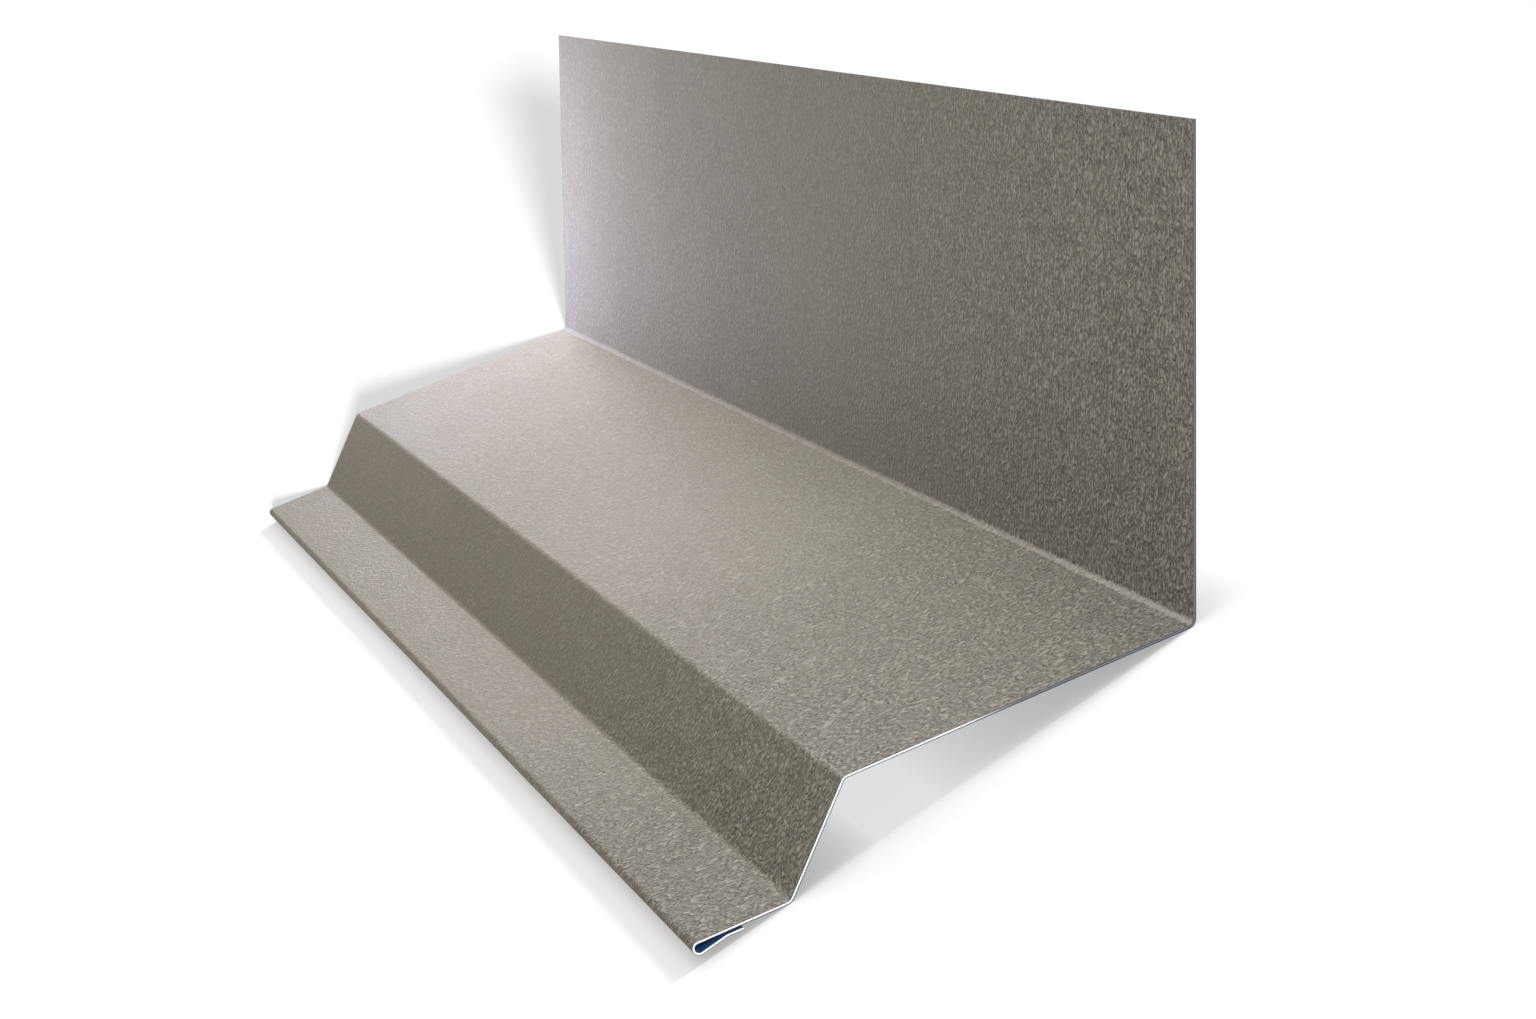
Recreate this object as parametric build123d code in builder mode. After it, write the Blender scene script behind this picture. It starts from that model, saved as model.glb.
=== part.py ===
from build123d import *
import os
from math import acos, asin, atan2, degrees, hypot, radians, tan

# Endwall flashing: one brake-formed strip of painted steel sheet that covers the joint
# where the upper end of a sloping roof meets a wall. Millimetres, +Z up. The length runs
# along X, the wall side is +Y and the hemmed front edge is -Y. It lies on a level floor
# as it comes to rest by itself, on the outsides of its heel and toe bends.

# Stock
flashing_length = 609.6
sheet_thickness = 0.65

# Legs, measured on the weather face between the corner lines of the bends
wall_leg = 101.6
roof_leg = 78.4
step_leg = 26.9
flange_leg = 21.8

# Bends, in degrees: how far the roof leg falls below level when the wall leg is upright,
# and how much steeper the step is than the roof leg and the flange, which are parallel
roof_pitch = 19.4
step_turn = 46.0

# Inside radii of the bends
heel_radius = 1.6
crest_radius = 1.6
toe_radius = 2.0

# Open teardrop hem: the sheet is turned back under the flange, closes in on it and
# ends in a short lip that lies parallel to the flange
hem_radius = 0.8
hem_return = 5.9
lip_radius = 1.0
lip_length = 3.4
lip_gap = 0.35


def setback(radius, turn):
    """Distance from the corner line of a bend to the end of its arc."""
    return radius * tan(radians(turn) / 2)


# Radii on the weather face, which is outside the crest and the hem
crest_face_radius = crest_radius + sheet_thickness
hem_face_radius = hem_radius + sheet_thickness

# Turn at the heel, and the angle at which the hem's return closes in on the flange so
# that the lip ends up lip_gap below it
heel_turn = 90 - roof_pitch
lip_hem_side_radius = lip_radius + sheet_thickness
hem_and_lip_radii = hem_radius + lip_hem_side_radius
closing_turn = degrees(
    acos((lip_gap - hem_radius + lip_hem_side_radius) / hypot(hem_and_lip_radii, hem_return))
    - atan2(hem_return, hem_and_lip_radii)
)

# Flats between the bends
heel_setback = setback(heel_radius, heel_turn)
crest_setback = setback(crest_face_radius, step_turn)
toe_setback = setback(toe_radius, step_turn)
wall_flat_length = wall_leg - heel_setback
roof_flat_length = roof_leg - heel_setback - crest_setback
step_flat_length = step_leg - crest_setback - toe_setback
flange_flat_length = flange_leg - toe_setback - hem_face_radius

# Cross-section with the wall leg upright, drawn along the weather face from the top of
# the wall leg down to the hem, then thickened towards the back of the sheet
with BuildLine() as upright_section:
    wall_flat = PolarLine((0, wall_leg), wall_flat_length, angle=-90)
    heel = JernArc(wall_flat @ 1, wall_flat % 1, heel_radius, -heel_turn)
    roof_flat = PolarLine(heel @ 1, roof_flat_length, direction=heel % 1)
    crest = JernArc(roof_flat @ 1, roof_flat % 1, crest_face_radius, step_turn)
    step_flat = PolarLine(crest @ 1, step_flat_length, direction=crest % 1)
    toe = JernArc(step_flat @ 1, step_flat % 1, toe_radius, -step_turn)
    flange_flat = PolarLine(toe @ 1, flange_flat_length, direction=toe % 1)
    hem_nose = JernArc(flange_flat @ 1, flange_flat % 1, hem_face_radius, 180 + closing_turn)
    hem_flat = PolarLine(hem_nose @ 1, hem_return, direction=hem_nose % 1)
    lip_bend = JernArc(hem_flat @ 1, hem_flat % 1, lip_radius, -closing_turn)
    lip_flat = PolarLine(lip_bend @ 1, lip_length, direction=lip_bend % 1)
    offset(amount=sheet_thickness, side=Side.LEFT)

# Resting attitude: the line that touches the outsides of the heel and the toe is the floor
toe_to_heel = heel.arc_center - toe.arc_center
outer_radius_difference = heel_radius - toe_radius
rest_tilt = degrees(
    atan2(toe_to_heel.Y, toe_to_heel.X) - asin(outer_radius_difference / toe_to_heel.length)
)
resting_outline = upright_section.line.rotate(Axis.Z, -rest_tilt).bounding_box()
rest_plane = Plane(
    origin=(0, -resting_outline.center().X, -resting_outline.min.Y),
    x_dir=Vector(0, 1, 0).rotate(Axis.X, -rest_tilt),
    z_dir=(1, 0, 0),
)

with BuildPart() as flashing_sheet:
    with BuildSketch(rest_plane):
        make_face(upright_section.edges())
    extrude(amount=flashing_length / 2, both=True)

flashing_sheet.part.label = "flashing_sheet"

os.makedirs("parts", exist_ok=True)
export_step(flashing_sheet.part, "parts/flashing_sheet.step")
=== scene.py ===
import math
import bmesh
import bpy
from mathutils import Matrix, Vector, noise


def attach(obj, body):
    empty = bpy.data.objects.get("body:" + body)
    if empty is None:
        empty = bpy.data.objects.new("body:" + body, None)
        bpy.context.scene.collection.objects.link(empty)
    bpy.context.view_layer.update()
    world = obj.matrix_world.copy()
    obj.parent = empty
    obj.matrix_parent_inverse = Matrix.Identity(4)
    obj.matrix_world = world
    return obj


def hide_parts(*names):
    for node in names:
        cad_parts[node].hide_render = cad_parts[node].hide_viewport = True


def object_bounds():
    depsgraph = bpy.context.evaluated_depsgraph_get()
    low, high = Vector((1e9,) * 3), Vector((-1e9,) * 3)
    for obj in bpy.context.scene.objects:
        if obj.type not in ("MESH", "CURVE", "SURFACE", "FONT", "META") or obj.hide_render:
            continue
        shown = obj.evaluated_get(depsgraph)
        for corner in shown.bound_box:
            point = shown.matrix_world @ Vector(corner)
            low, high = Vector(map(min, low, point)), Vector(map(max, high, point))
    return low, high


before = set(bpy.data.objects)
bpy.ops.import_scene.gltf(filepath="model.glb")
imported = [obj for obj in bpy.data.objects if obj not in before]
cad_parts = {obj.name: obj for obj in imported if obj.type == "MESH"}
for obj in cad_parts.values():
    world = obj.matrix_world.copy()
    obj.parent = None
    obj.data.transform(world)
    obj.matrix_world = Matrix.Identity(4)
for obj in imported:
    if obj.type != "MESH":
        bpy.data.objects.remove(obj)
cadLow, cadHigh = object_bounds()
print("frame loaded, bare sheet box in mm:", [round(v * 1000, 1) for v in cadHigh - cadLow])

mm = 0.001

# The bent strip. Legs are measured on the weather face between the corner lines of the
# bends, radii are inside radii, and angles are in degrees.
strip = {
    "length": 609.6 * mm,
    "gauge": 0.65 * mm,
    "wallLeg": 101.6 * mm,
    "roofLeg": 78.4 * mm,
    "stepLeg": 26.9 * mm,
    "flangeLeg": 21.8 * mm,
    "roofPitch": 19.4,
    "stepTurn": 46.0,
    "heelRadius": 1.6 * mm,
    "crestRadius": 1.6 * mm,
    "toeRadius": 2.0 * mm,
    "hemRadius": 0.8 * mm,
    "hemReturn": 5.9 * mm,
    "lipRadius": 1.0 * mm,
    "lipLength": 3.4 * mm,
    "lipGap": 0.35 * mm,
    "weatherCoat": 0.14 * mm,   # thickness of the paint where the cut edge shows it
    "backCoat": 0.19 * mm,
    "alongStep": 5.0 * mm,      # mesh size along the strip
    "acrossStep": 5.0 * mm,     # mesh size across the flats
    "bendStep": 5.0,            # degrees of bend between two mesh lines
    "weldWithin": 0.001 * mm,   # mesh corners nearer than this become one
    "sharpFrom": 40.0,          # degrees between two faces from which their edge looks sharp
    "waviness": 0.06 * mm,      # how far the sheet wanders from true
    "wavesAlong": 9.0,          # per metre
    "wavesAcross": 14.0,
    "waveSlice": 0.7,           # which slice of the noise the waves are cut from
}


def setback(radius, turn):
    return radius * math.tan(math.radians(turn) / 2)


def closingTurn():
    # the hem's return closes in on the flange until the lip is lipGap below it
    lipOuter = strip["lipRadius"] + strip["gauge"]
    both = strip["hemRadius"] + lipOuter
    reach = math.hypot(both, strip["hemReturn"])
    level = math.acos((strip["lipGap"] - strip["hemRadius"] + lipOuter) / reach)
    return math.degrees(level - math.atan2(strip["hemReturn"], both))


def bendPlan():
    # flats and bends in order, from the top of the wall leg to the lip of the hem
    heelTurn = 90 - strip["roofPitch"]
    crestFace = strip["crestRadius"] + strip["gauge"]
    hemFace = strip["hemRadius"] + strip["gauge"]
    heelSet = setback(strip["heelRadius"], heelTurn)
    crestSet = setback(crestFace, strip["stepTurn"])
    toeSet = setback(strip["toeRadius"], strip["stepTurn"])
    closing = closingTurn()
    return [
        ("flat", strip["wallLeg"] - heelSet),
        ("bend", strip["heelRadius"], -heelTurn),
        ("flat", strip["roofLeg"] - heelSet - crestSet),
        ("bend", crestFace, strip["stepTurn"]),
        ("flat", strip["stepLeg"] - crestSet - toeSet),
        ("bend", strip["toeRadius"], -strip["stepTurn"]),
        ("flat", strip["flangeLeg"] - toeSet - hemFace),
        ("bend", hemFace, 180 + closing),
        ("flat", strip["hemReturn"]),
        ("bend", strip["lipRadius"], -closing),
        ("flat", strip["lipLength"]),
    ]


def walkSection():
    # stations down the weather face with the wall leg upright: place, outward normal,
    # distance walked, and the centres of the bends
    place, heading, walked = Vector((0, strip["wallLeg"])), -90.0, 0.0
    stations, centres = [], []

    def mark():
        angle = math.radians(heading)
        stations.append((place.copy(), Vector((math.sin(angle), -math.cos(angle))), walked))

    mark()
    for part in bendPlan():
        if part[0] == "flat":
            steps = max(1, round(part[1] / strip["acrossStep"]))
            angle = math.radians(heading)
            for _ in range(steps):
                place = place + Vector((math.cos(angle), math.sin(angle))) * part[1] / steps
                walked += part[1] / steps
                mark()
        else:
            radius, turn = part[1], part[2]
            steps = max(2, round(abs(turn) / strip["bendStep"]))
            toRight = 1 if turn < 0 else -1
            centre = place + stations[-1][1] * radius * toRight
            centres.append(centre)
            for _ in range(steps):
                heading += turn / steps
                angle = math.radians(heading)
                outward = Vector((math.sin(angle), -math.cos(angle)))
                place = centre - outward * radius * toRight
                walked += radius * math.radians(abs(turn)) / steps
                mark()
    return stations, centres


def restTilt(centres):
    # the strip lies on the outsides of its heel and toe bends
    heel, toe = centres[0], centres[2]
    reach = heel - toe
    drop = math.asin((strip["heelRadius"] - strip["toeRadius"]) / reach.length)
    return math.atan2(reach.y, reach.x) - drop


def laySection():
    # the section as it lies on the floor, in the frame's Y and Z
    stations, centres = walkSection()
    turn = Matrix.Rotation(-restTilt(centres), 2)
    gauge = strip["gauge"]
    turned = [(turn @ place, turn @ outward, walked) for place, outward, walked in stations]
    edges = [p for p, _, _ in turned] + [p - n * gauge for p, n, _ in turned]
    lowest = min(p.y for p in edges)
    middle = (min(p.x for p in edges) + max(p.x for p in edges)) / 2
    shift = Vector(((cadLow.y + cadHigh.y) / 2 - middle, cadLow.z - lowest))
    return [(p + shift, n, walked) for p, n, walked in turned]


section = laySection()
sheetRun = round(section[-1][2] * 1000, 1)
print("section laid out,", len(section), "stations,", sheetRun, "mm of sheet across")

# Places in the unwrapped sheet, as shares of its width and height. The cut edges lie in
# narrow lanes between the two faces.
unwrap = {
    "left": 0.005,
    "right": 0.995,
    "weatherFrom": 0.01,
    "weatherTo": 0.47,
    "backFrom": 0.53,
    "backTo": 0.99,
    "firstLane": 0.476,
    "laneStep": 0.004,
    "laneWidth": 0.003,
}

# The order of the sheet's finishes
weatherSlot, backSlot, steelSlot, weatherEdgeSlot, backEdgeSlot = range(5)


def wander(x, walked):
    # slow unevenness of the whole sheet
    waves = Vector((x * strip["wavesAlong"], walked * strip["wavesAcross"], strip["waveSlice"]))
    return noise.noise(waves) * strip["waviness"]


def sheetPoint(x, station, depth):
    place, outward, walked = station
    out = wander(x, walked) - depth
    return Vector((x, place.x + outward.x * out, place.y + outward.y * out))


def layGrid(mesh, uvMap, rows, low, high, finish):
    # one panel of quads, between two heights in the unwrapped sheet
    left, right = unwrap["left"], unwrap["right"]
    verts = [[mesh.verts.new(p) for p in row] for row in rows]
    last, wide = len(rows) - 1, len(rows[0]) - 1
    for r in range(last):
        for c in range(wide):
            corners = ((r, c), (r, c + 1), (r + 1, c + 1), (r + 1, c))
            face = mesh.faces.new([verts[rr][cc] for rr, cc in corners])
            face.material_index = finish
            for loop, (rr, cc) in zip(face.loops, corners):
                loop[uvMap].uv = (left + (right - left) * rr / last, low + (high - low) * cc / wide)


def bendSheet():
    half = strip["length"] / 2
    count = round(strip["length"] / strip["alongStep"])
    xs = [-half + strip["length"] * i / count for i in range(count + 1)]
    gauge = strip["gauge"]

    mesh = bmesh.new()
    uvMap = mesh.loops.layers.uv.new("OFBake")
    weather = [[sheetPoint(x, s, 0.0) for s in section] for x in xs]
    back = [[sheetPoint(x, s, gauge) for s in section] for x in xs]
    layGrid(mesh, uvMap, weather, unwrap["weatherFrom"], unwrap["weatherTo"], weatherSlot)
    layGrid(mesh, uvMap, back, unwrap["backFrom"], unwrap["backTo"], backSlot)

    # the cut edge shows coat, steel, coat all round the sheet
    depths = [0.0, strip["weatherCoat"], gauge - strip["backCoat"], gauge]
    cuts = [[(x, s) for s in section] for x in (xs[0], xs[-1])]
    cuts += [[(x, s) for x in xs] for s in (section[0], section[-1])]
    lane = 0
    for k, finish in enumerate((weatherEdgeSlot, steelSlot, backEdgeSlot)):
        for cut in cuts:
            low = unwrap["firstLane"] + unwrap["laneStep"] * lane
            rows = [[sheetPoint(x, s, depths[k]), sheetPoint(x, s, depths[k + 1])] for x, s in cut]
            layGrid(mesh, uvMap, rows, low, low + unwrap["laneWidth"], finish)
            lane += 1

    bmesh.ops.remove_doubles(mesh, verts=mesh.verts, dist=strip["weldWithin"])
    bmesh.ops.recalc_face_normals(mesh, faces=mesh.faces)
    sharp = math.radians(strip["sharpFrom"])
    for edge in mesh.edges:
        edge.smooth = edge.is_manifold and edge.calc_face_angle(0.0) < sharp
    for face in mesh.faces:
        face.smooth = True
    data = bpy.data.meshes.new("bentSheet")
    mesh.to_mesh(data)
    mesh.free()
    sheet = bpy.data.objects.new("bentSheet", data)
    bpy.context.scene.collection.objects.link(sheet)
    return sheet


def setInputs(tree, node, inputs):
    # each input takes a number, a colour or another node's socket
    for key, value in inputs.items():
        if isinstance(value, bpy.types.NodeSocket):
            tree.links.new(value, node.inputs[key])
        else:
            node.inputs[key].default_value = value


def addNode(tree, kind, inputs=None, **properties):
    node = tree.nodes.new(kind)
    for key, value in properties.items():
        setattr(node, key, value)
    setInputs(tree, node, inputs or {})
    return node


def addNoise(tree, coords, perMetre, detail=2.0, rough=0.5):
    inputs = {"Vector": coords, "Scale": perMetre, "Detail": detail, "Roughness": rough}
    return addNode(tree, "ShaderNodeTexNoise", inputs)


def addBump(tree, height, strength, distance):
    inputs = {"Height": height, "Strength": strength, "Distance": distance}
    return addNode(tree, "ShaderNodeBump", inputs).outputs[0]


def reckon(tree, operation, *values, clamp=False):
    inputs = dict(enumerate(values))
    return addNode(tree, "ShaderNodeMath", inputs, operation=operation, use_clamp=clamp).outputs[0]


def ramp(tree, value, start, end, low, high, smooth=False):
    # goes from low to high while the value goes from start to end
    inputs = {"Value": value, "From Min": start, "From Max": end, "To Min": low, "To Max": high}
    shape = "SMOOTHSTEP" if smooth else "LINEAR"
    return addNode(tree, "ShaderNodeMapRange", inputs, interpolation_type=shape).outputs[0]


def mixColours(tree, share, first, second):
    inputs = {"Factor": share, 6: first, 7: second}
    return addNode(tree, "ShaderNodeMix", inputs, data_type="RGBA").outputs[2]


def sheetCoords(tree):
    # metres, as the sheet lies
    return addNode(tree, "ShaderNodeTexCoord").outputs["Object"]


def newFinish(name):
    finish = bpy.data.materials.new(name)
    finish.use_nodes = True
    tree = finish.node_tree
    tree.nodes.clear()
    shader = addNode(tree, "ShaderNodeBsdfPrincipled")
    addNode(tree, "ShaderNodeOutputMaterial", {"Surface": shader.outputs["BSDF"]})
    return finish, tree, shader


# Wrinkle-textured coat of the weather face, with painted shade in its creases and painted light on
# its crowns.
# It is stretched and paler where it goes round a bend, most of all inside the heel, where the pale
# line is also a painted highlight.
weatherPaint = {
    # ends of the coat's tone: the dark end carries painted shade in the creases, the light end
    # painted light on the crowns
    "shadedCreaseTone": (0.091, 0.069, 0.044, 1),
    "litCrownTone": (0.409, 0.336, 0.231, 1),
    # pale stretched paint, which also paints the heel's highlight
    "stretchedAndHighlit": (0.470, 0.375, 0.270, 1),
    "wrinklesPerMetre": 560,
    "wrinkleWidth": 0.22,        # how much of a swell folds into one wrinkle
    "pushesPerMetre": 260,
    "push": 2.0 * mm,            # how far the wrinkles are pushed out of line
    "grainPerMetre": 520,
    "grainDetail": 4.0,
    "grainRoughness": 0.70,
    "grainShare": 0.60,
    "fleckPerMetre": 1250,
    "fleckRoughness": 0.6,
    "fleckStrength": 1.25,
    # how strongly the relief paints shade into the creases and light onto the crowns
    "creaseShadeStrength": 1.15,
    "patchesPerMetre": 110,
    "patchStrength": 0.18,
    "cloudsPerMetre": 14,
    "cloudStrength": 0.16,
    "plainLevel": 0.42,          # between crease and crown, before the clouds are added
    "grainRise": (0.02, 0.31),   # metres along X: from here to here the grain gets stronger
    "grainContrast": (0.38, 1.45),
    "reliefHeight": 0.85 * mm,
    "reliefShare": (0.33, 1.0),
    "roughLow": 0.36,
    "roughHigh": 0.58,
    "gloss": 0.13,
}

# The pale lines of the bends: stretched paint, and inside the heel mostly a painted highlight where
# light catches the bend
stretchAndHighlightLines = {
    "share": (0.60, 1.35),       # their strength rises along X as the grain's does
    "core": 0.2 * mm,
    "ragged": 1.6 * mm,          # how far the relief frays their edges
    "bends": [
        # the heel's line is mostly a painted highlight as well as stretched paint
        {"bend": 0, "reach": 1.15 * mm, "strength": 0.75},
        {"bend": 1, "reach": 0.9 * mm, "strength": 0.20},
        {"bend": 2, "reach": 1.0 * mm, "strength": 0.25},
    ],
}


def bendMiddle(order):
    # where the middle of a bend lies on the weather face, counted from the wall leg
    walked, bends = 0.0, []
    for part in bendPlan():
        run = part[1] if part[0] == "flat" else part[1] * math.radians(abs(part[2]))
        if part[0] == "bend":
            bends.append(walked + run / 2)
        walked += run
    place = min(section, key=lambda station: abs(station[2] - bends[order]))[0]
    return Vector((0, place.x, place.y))


def alongStrip(tree, coords, values):
    # rises along X from the first value to the second
    along = addNode(tree, "ShaderNodeSeparateXYZ", {0: coords}).outputs["X"]
    return ramp(tree, along, *weatherPaint["grainRise"], *values, smooth=True)


def wrinkleRelief(tree, coords):
    # wrinkles are a swell folded about its middle, with fine grain over them
    drift = addNoise(tree, coords, weatherPaint["pushesPerMetre"], 1.0).outputs["Color"]
    push = (weatherPaint["push"],) * 3
    pushed = addNode(tree, "ShaderNodeVectorMath", {0: drift, 1: push, 2: coords},
                     operation="MULTIPLY_ADD").outputs[0]
    swell = addNoise(tree, pushed, weatherPaint["wrinklesPerMetre"], 1.0).outputs[0]
    fold = reckon(tree, "ABSOLUTE", reckon(tree, "SUBTRACT", swell, 0.5))
    wrinkle = ramp(tree, fold, 0.0, weatherPaint["wrinkleWidth"], 0.0, 1.0)
    grain = addNoise(tree, coords, weatherPaint["grainPerMetre"], weatherPaint["grainDetail"],
                     weatherPaint["grainRoughness"]).outputs[0]
    inputs = {"Factor": weatherPaint["grainShare"], 2: wrinkle, 3: grain}
    return addNode(tree, "ShaderNodeMix", inputs, data_type="FLOAT").outputs[0]


def coatToneAndShade(tree, coords, relief):
    # painted light on the crowns and painted shade in the creases, with flecks, patches and slow
    # clouds
    fleck = addNoise(tree, coords, weatherPaint["fleckPerMetre"],
                     rough=weatherPaint["fleckRoughness"]).outputs[0]
    patch = addNoise(tree, coords, weatherPaint["patchesPerMetre"]).outputs[0]
    cloud = addNoise(tree, coords, weatherPaint["cloudsPerMetre"]).outputs[0]
    contrast = alongStrip(tree, coords, weatherPaint["grainContrast"])
    level = reckon(tree, "MULTIPLY_ADD", cloud, weatherPaint["cloudStrength"],
                   weatherPaint["plainLevel"])
    for part, strength in (
        (relief, "creaseShadeStrength"),
        (fleck, "fleckStrength"),
        (patch, "patchStrength"),
    ):
        scaled = reckon(tree, "MULTIPLY", reckon(tree, "SUBTRACT", part, 0.5), contrast)
        level = reckon(tree, "MULTIPLY_ADD", scaled, weatherPaint[strength], level)
    level = addNode(tree, "ShaderNodeClamp", {0: level}).outputs[0]
    return mixColours(tree, level, weatherPaint["shadedCreaseTone"], weatherPaint["litCrownTone"])


def paleAndHighlitBends(tree, coords, relief, colour):
    across = addNode(tree, "ShaderNodeVectorMath", {0: coords, 1: (0, 1, 1)},
                     operation="MULTIPLY").outputs[0]
    share = alongStrip(tree, coords, stretchAndHighlightLines["share"])
    ragged = stretchAndHighlightLines["ragged"]
    for line in stretchAndHighlightLines["bends"]:
        away = addNode(tree, "ShaderNodeVectorMath", {0: across, 1: bendMiddle(line["bend"])},
                       operation="DISTANCE").outputs["Value"]
        frayed = reckon(tree, "MULTIPLY_ADD", relief, -ragged, away)
        near = ramp(tree, frayed, -stretchAndHighlightLines["core"], line["reach"] - ragged / 2,
                    line["strength"], 0.0)
        # paler where the coat is stretched, and a painted highlight inside the heel
        paleAndHighlight = reckon(tree, "MULTIPLY", near, share, clamp=True)
        colour = mixColours(tree, paleAndHighlight, colour, weatherPaint["stretchedAndHighlit"])
    return colour


def paintWeatherFace():
    finish, tree, shader = newFinish("taupeWrinkleCoat")
    coords = sheetCoords(tree)
    relief = wrinkleRelief(tree, coords)
    colour = paleAndHighlitBends(tree, coords, relief, coatToneAndShade(tree, coords, relief))
    rough = ramp(tree, relief, 0.0, 1.0, weatherPaint["roughHigh"], weatherPaint["roughLow"])
    reliefShare = alongStrip(tree, coords, weatherPaint["reliefShare"])
    setInputs(tree, shader, {
        "Base Color": colour,
        "Roughness": rough,
        "Normal": addBump(tree, relief, reliefShare, weatherPaint["reliefHeight"]),
        "Specular IOR Level": weatherPaint["gloss"],
    })
    return finish


# Thin slate wash coat on the back of the sheet, drawn out into streaks along the strip
backPaint = {
    "colour": (0.045, 0.110, 0.220, 1),
    "streak": (0.060, 0.140, 0.270, 1),
    "streaksPerMetre": (3.0, 260.0, 260.0),
    "streakDetail": 3.0,
    "streakBump": 0.3,
    "streakHeight": 0.02 * mm,
    "rough": 0.42,
    "metal": 0.2,
}


def paintBack():
    finish, tree, shader = newFinish("slateWashCoat")
    drawn = addNode(tree, "ShaderNodeMapping", {
        "Vector": sheetCoords(tree), "Scale": backPaint["streaksPerMetre"]}).outputs[0]
    streak = addNoise(tree, drawn, 1.0, backPaint["streakDetail"]).outputs[0]
    setInputs(tree, shader, {
        "Base Color": mixColours(tree, streak, backPaint["colour"], backPaint["streak"]),
        "Normal": addBump(tree, streak, backPaint["streakBump"], backPaint["streakHeight"]),
        "Roughness": backPaint["rough"],
        "Metallic": backPaint["metal"],
    })
    return finish


# Sheared steel between the two coats, with a painted glint: bright near the front edge and dark
# towards the heel
cutSteel = {
    # painted glint: the steel's colour goes from bright at the front edge to dark towards the heel
    "paintedGlint": (0.93, 0.94, 0.96, 1),
    "steelPastGlint": (0.155, 0.16, 0.17, 1),
    "glintUpTo": -0.022,   # metres along Y, from the front edge back to here
    "glintGoneFrom": -0.004,
    "tearsPerMetre": 2500,
    "tearBump": 0.5,
    "tearHeight": 0.02 * mm,
    "rough": 0.38,
    "metal": 1.0,
}


def showSteel():
    finish, tree, shader = newFinish("shearedSteel")
    coords = sheetCoords(tree)
    across = addNode(tree, "ShaderNodeSeparateXYZ", {0: coords}).outputs["Y"]
    # painted glint fading from the front edge towards the heel
    glintFade = ramp(tree, across, cutSteel["glintUpTo"], cutSteel["glintGoneFrom"], 0.0, 1.0, smooth=True)
    torn = addNoise(tree, coords, cutSteel["tearsPerMetre"], 1.0).outputs[0]
    setInputs(tree, shader, {
        "Base Color": mixColours(tree, glintFade, cutSteel["paintedGlint"], cutSteel["steelPastGlint"]),
        "Normal": addBump(tree, torn, cutSteel["tearBump"], cutSteel["tearHeight"]),
        "Roughness": cutSteel["rough"],
        "Metallic": cutSteel["metal"],
    })
    return finish


# Edges of the two coats where the shears went through them, both drawn near black, much darker than
# the faces of the coats
coatEdges = {
    "weather": (0.016, 0.018, 0.026, 1),
    "back": (0.007, 0.010, 0.026, 1),
    "flecksPerMetre": 1800,
    "fleckGain": 1.5,       # how much lighter the flecks are
    "rough": 0.5,
}


def showCoatEdge(name, colour):
    finish, tree, shader = newFinish(name)
    fleck = addNoise(tree, sheetCoords(tree), coatEdges["flecksPerMetre"]).outputs[0]
    lighter = tuple(c * coatEdges["fleckGain"] for c in colour[:3]) + (1,)
    setInputs(tree, shader, {
        "Base Color": mixColours(tree, fleck, colour, lighter),
        "Roughness": coatEdges["rough"],
    })
    return finish


sheet = bendSheet()
for finish in (   # in the order of the slots
    paintWeatherFace(),
    paintBack(),
    showSteel(),
    showCoatEdge("weatherCoatEdge", coatEdges["weather"]),
    showCoatEdge("backCoatEdge", coatEdges["back"]),
):
    sheet.data.materials.append(finish)
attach(sheet, "root")
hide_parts("flashing_sheet")
print("sheet bent and painted,", len(sheet.data.polygons), "faces")

# Pale paper floor. To the camera and in reflections it is partly lit by itself, which keeps
# the paper white and the shadows on it light. The sheet gets only its plain bounce.
paperFloor = {
    "size": 24.0,
    "colour": (0.30, 0.298, 0.292, 1),
    "rough": 0.9,
    "gloss": 0.1,
    "ownLight": 0.335,
    "contactReach": 12 * mm,   # how far the contact shadow spreads around the sheet
    "contactDepth": 1.4,       # above 1 the contact shadow gets darker
    "contactSamples": 2,
}


def seenItself(tree):
    # 1 for what the camera or a reflection sees, 0 for what lights the sheet
    path = addNode(tree, "ShaderNodeLightPath")
    return reckon(tree, "MAXIMUM", path.outputs["Is Camera Ray"], path.outputs["Is Glossy Ray"])


def layFloor():
    half = paperFloor["size"] / 2
    corners = [(-half, -half, 0), (half, -half, 0), (half, half, 0), (-half, half, 0)]
    data = bpy.data.meshes.new("paperFloor")
    data.from_pydata(corners, [], [(0, 1, 2, 3)])
    floor = bpy.data.objects.new("paperFloor", data)
    bpy.context.scene.collection.objects.link(floor)

    finish, tree, shader = newFinish("palePaper")
    setInputs(tree, shader, {
        "Base Color": paperFloor["colour"],
        "Roughness": paperFloor["rough"],
        "Specular IOR Level": paperFloor["gloss"],
    })
    contact = addNode(tree, "ShaderNodeAmbientOcclusion", {"Distance": paperFloor["contactReach"]},
                      samples=paperFloor["contactSamples"]).outputs["AO"]
    dimmed = reckon(tree, "POWER", contact, paperFloor["contactDepth"])
    level = reckon(tree, "MULTIPLY", seenItself(tree), paperFloor["ownLight"])
    level = reckon(tree, "MULTIPLY", level, dimmed)
    glow = addNode(tree, "ShaderNodeEmission", {"Strength": level}).outputs[0]
    paper = addNode(tree, "ShaderNodeAddShader", {0: shader.outputs[0], 1: glow}).outputs[0]
    tree.links.new(paper, tree.nodes["Material Output"].inputs["Surface"])
    data.materials.append(finish)
    return floor


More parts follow.
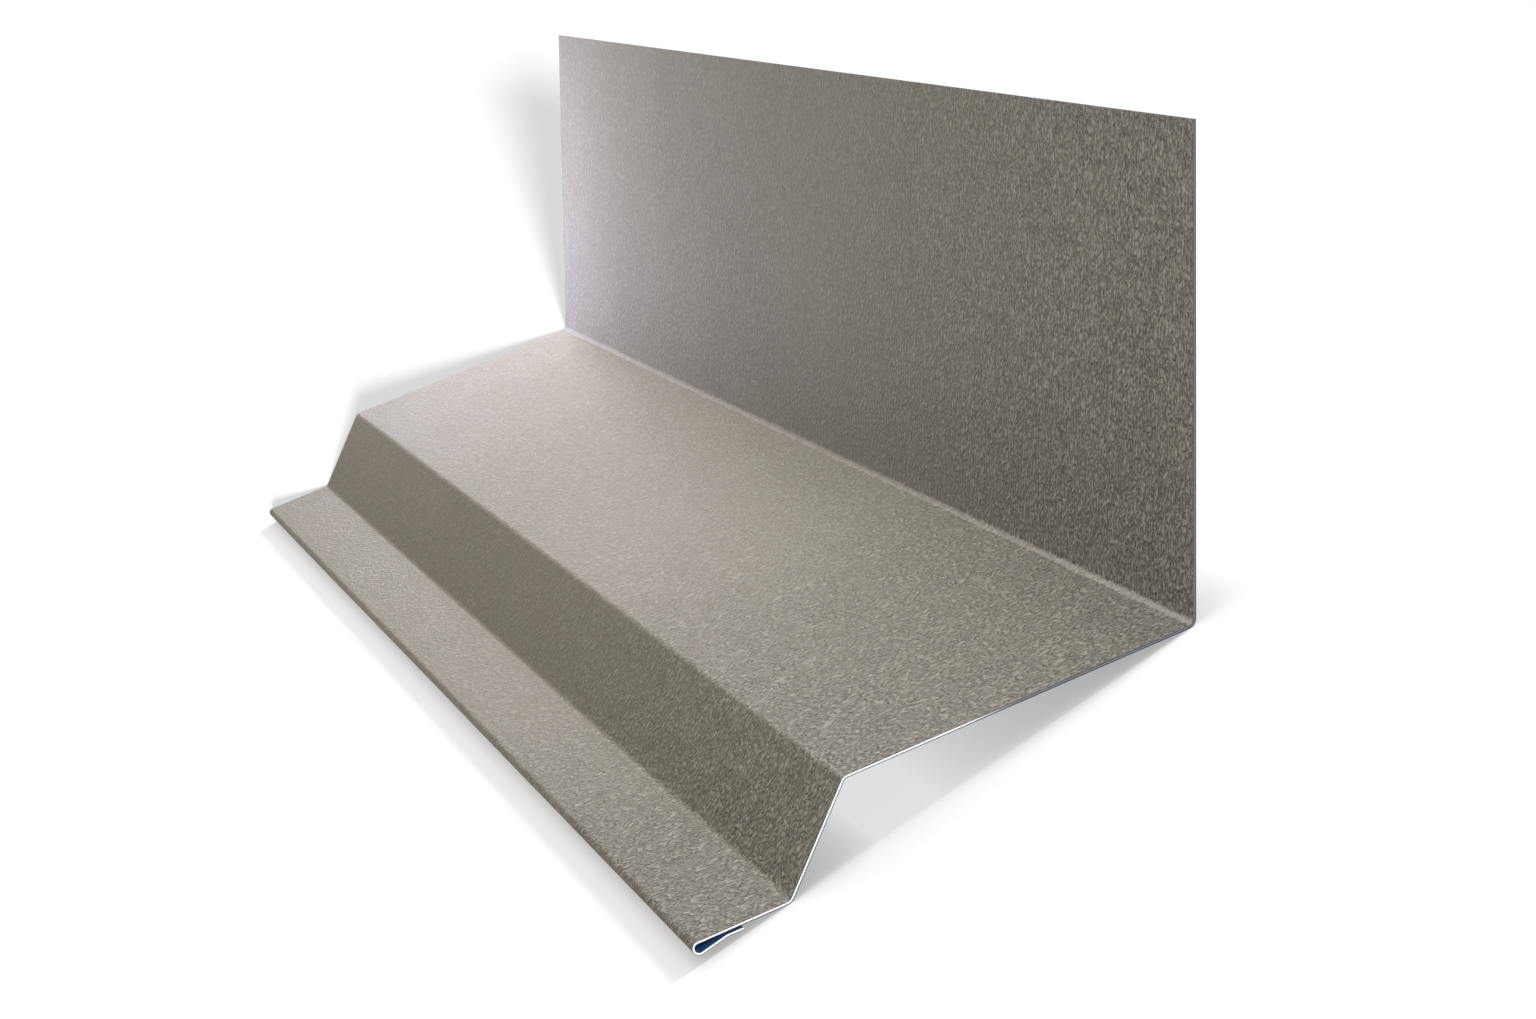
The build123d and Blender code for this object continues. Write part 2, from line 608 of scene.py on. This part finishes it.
# Soft studio light: an even pale room, a warm key past the far end, a cool lamp past the near
# end, two small cool lamps close to the far end for its glow, and a window that shows only as
# gloss. Two lamps light the floor alone, for the shadows around the sheet.
studio = {"roomLevel": 0.20}
distantLamps = [
    {"name": "keyLamp", "lights": "all", "from": (-1.2, 0.40, 0.80),
     "power": 1.36, "spread": 30.0, "colour": (1.0, 0.975, 0.93)},
    {"name": "lowFloorLamp", "lights": "floor", "from": (1.0, -0.108, 0.120),
     "power": 34.0, "spread": 3.6, "colour": (1.0, 1.0, 1.0)},
    {"name": "sideFloorLamp", "lights": "floor", "from": (0.0, 1.0, 0.58),
     "power": 4.0, "spread": 10.0, "colour": (1.0, 1.0, 1.0)},
]
softLamps = [
    {"name": "nearLamp", "lights": "diffuse",
     "at": (0.75, 0.05, 0.19), "aim": (0.22, 0.0, 0.02), "size": (0.2, 0.2),
     "power": 1.18, "spread": 100.0, "colour": (0.500, 0.700, 1.0)},
    {"name": "endLamp", "lights": "diffuse",
     "at": (-0.590, -0.025, 0.030), "aim": (-0.20, 0.06, 0.02), "size": (0.06, 0.05),
     "power": 0.62, "spread": 46.0, "colour": (0.484, 0.573, 1.0)},
    {"name": "upperEndLamp", "lights": "diffuse",
     "at": (-0.580, 0.015, 0.095), "aim": (-0.20, 0.065, 0.055), "size": (0.06, 0.05),
     "power": 0.38, "spread": 46.0, "colour": (0.655, 0.741, 1.0)},
    {"name": "farWindow", "lights": "gloss",
     "at": (-1.9, 0.45, 0.35), "aim": (0.0, 0.0, 0.0), "size": (0.5, 0.5),
     "power": 2.15, "spread": 180.0, "colour": (1.0, 0.84, 0.95)},
]


def hangLamp(kind, setting, at, towards):
    lamp = bpy.data.lights.new(setting["name"], kind)
    lamp.energy = setting["power"]
    lamp.color = setting["colour"]
    holder = bpy.data.objects.new(lamp.name, lamp)
    holder.location = at
    holder.rotation_euler = (Vector(at) - Vector(towards)).to_track_quat("Z", "Y").to_euler()
    bpy.context.scene.collection.objects.link(holder)
    return lamp, holder


def lightGroup(name, thing):
    group = bpy.data.collections.new(name)
    group.objects.link(thing)
    return group


def lightRoom():
    world = bpy.data.worlds.new("paleRoom")
    bpy.context.scene.world = world
    world.use_nodes = True
    tree = world.node_tree
    tree.nodes.clear()
    level = ramp(tree, seenItself(tree), 0.0, 1.0, studio["roomLevel"], 1.0)
    sky = addNode(tree, "ShaderNodeBackground", {"Color": (1, 1, 1, 1), "Strength": level})
    addNode(tree, "ShaderNodeOutputWorld", {"Surface": sky.outputs[0]})


def hangLamps(floorOnly, sheetOnly):
    for setting in distantLamps:
        lamp, holder = hangLamp("SUN", setting, setting["from"], (0, 0, 0))
        lamp.angle = math.radians(setting["spread"])
        if setting["lights"] == "floor":
            holder.light_linking.receiver_collection = floorOnly

    for setting in softLamps:
        lamp, holder = hangLamp("AREA", setting, setting["at"], setting["aim"])
        lamp.shape = "RECTANGLE"
        lamp.size, lamp.size_y = setting["size"]
        lamp.spread = math.radians(setting["spread"])
        holder.light_linking.receiver_collection = sheetOnly
        holder.visible_camera = False
        holder.visible_diffuse = setting["lights"] == "diffuse"
        holder.visible_glossy = setting["lights"] == "gloss"


# Camera beside the near end, rolled so that the wall leg stands upright in the picture
viewpoint = {
    "place": (1.0518, -0.1361, 0.2705),
    "aim": (0.0126, 0.0151, -0.0087),
    "roll": -31.7,
    "lens": 93.75,
    "sensor": 36.0,
    "seesTo": 100.0,
}


def placeCamera():
    lens = bpy.data.cameras.new("studioCamera")
    lens.lens = viewpoint["lens"]
    lens.sensor_width = viewpoint["sensor"]
    lens.clip_end = viewpoint["seesTo"]
    camera = bpy.data.objects.new("studioCamera", lens)
    place = Vector(viewpoint["place"])
    look = (Vector(viewpoint["aim"]) - place).to_track_quat("-Z", "Y").to_matrix().to_4x4()
    roll = Matrix.Rotation(math.radians(viewpoint["roll"]), 4, "Z")
    camera.matrix_world = Matrix.Translation(place) @ look @ roll
    bpy.context.scene.collection.objects.link(camera)
    bpy.context.scene.camera = camera


floor = layFloor()
lightRoom()
hangLamps(lightGroup("floorOnly", floor), lightGroup("sheetOnly", sheet))
placeCamera()
bpy.context.scene.view_settings.view_transform = "Standard"
print("floor, lights and camera in place")
